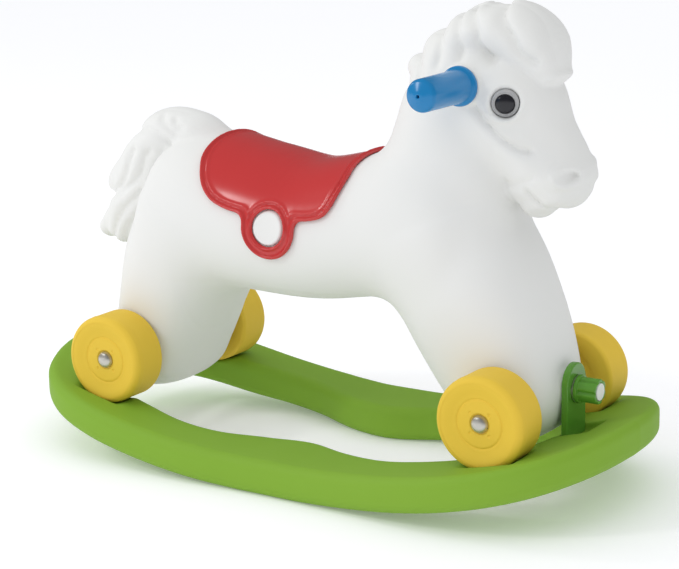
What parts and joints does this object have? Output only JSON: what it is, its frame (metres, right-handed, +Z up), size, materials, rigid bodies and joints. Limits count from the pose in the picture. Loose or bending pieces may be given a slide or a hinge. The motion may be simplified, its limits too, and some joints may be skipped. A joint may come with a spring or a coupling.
{
  "type": "rocking horse",
  "caption": "Plastic rocking horse with wheels, standing in the wheel pockets of a detachable closed-ring rocker, with a saddle, side grips and a screw lock in front.",
  "frame": {"origin": "on the floor under the middle of the rocker, halfway between the axles", "axes": "+X towards the horse's nose, +Y to the horse's left, +Z up"},
  "size_m": [0.7735, 0.3582, 0.5486],
  "materials": {
    "white_shell": "blow-moulded polyethylene with a fine drawn grain",
    "red_saddle": "glossy injection moulding",
    "green_rocker": "semi-gloss blow-moulded polyethylene",
    "green_lock": "semi-gloss injection moulding",
    "yellow_wheel": "satin blow-moulded polyethylene",
    "blue_grip": "semi-gloss injection moulding",
    "zinc_steel": "bright zinc plate",
    "eye_grey": "satin grey ring with a dark rim",
    "eye_black": "high gloss"
  },
  "bodies": {
    "root": {"horse_body": "white_shell", "lock_stud": "white_shell", "saddle": "red_saddle", "handle_grip_right": "blue_grip", "handle_grip_left": "blue_grip", "eye_bezel_right": "eye_grey", "eye_bezel_left": "eye_grey", "eye_dome_right": "eye_black", "eye_dome_left": "eye_black", "rocker_base": "green_rocker", "front_bracket": "green_lock", "axle_front": "zinc_steel", "axle_rear": "zinc_steel", "handle_rod": "zinc_steel", "axle_cap_front_right": "zinc_steel", "axle_cap_front_left": "zinc_steel", "axle_cap_rear_right": "zinc_steel", "axle_cap_rear_left": "zinc_steel", "wheel_washer_front_right": "zinc_steel", "wheel_washer_front_left": "zinc_steel", "wheel_washer_rear_right": "zinc_steel", "wheel_washer_rear_left": "zinc_steel"},
    "front_right_wheel": {"wheel_front_right": "yellow_wheel"},
    "front_left_wheel": {"wheel_front_left": "yellow_wheel"},
    "rear_right_wheel": {"wheel_rear_right": "yellow_wheel"},
    "rear_left_wheel": {"wheel_rear_left": "yellow_wheel"},
    "nut_carrier": {"lock_washer": "zinc_steel"},
    "nut": {"lock_nut": "green_lock"}
  },
  "joints": [
    {"name": "front_right_wheel_spin", "type": "hinge", "parent": "root", "child": "front_right_wheel", "pos_m": [0.255, -0.1085, 0.115], "axis": [0, 1, 0], "continuous": true},
    {"name": "front_left_wheel_spin", "type": "hinge", "parent": "root", "child": "front_left_wheel", "pos_m": [0.255, 0.1085, 0.115], "axis": [0, 1, 0], "continuous": true},
    {"name": "rear_right_wheel_spin", "type": "hinge", "parent": "root", "child": "rear_right_wheel", "pos_m": [-0.255, -0.1085, 0.115], "axis": [0, 1, 0], "continuous": true},
    {"name": "rear_left_wheel_spin", "type": "hinge", "parent": "root", "child": "rear_left_wheel", "pos_m": [-0.255, 0.1085, 0.115], "axis": [0, 1, 0], "continuous": true},
    {"name": "nut_travel", "type": "slide", "parent": "root", "child": "nut_carrier", "axis": [1, 0, 0], "range_m": [0, 0.015]},
    {"name": "nut_turn", "type": "hinge", "parent": "nut_carrier", "child": "nut", "pos_m": [0.32, 0, 0.129], "axis": [1, 0, 0], "range_deg": [0, 1800]}
  ],
  "couplings": [
    {"joint": "nut_turn", "follows": "nut_travel", "rad_per_m": 2094.4}
  ]
}
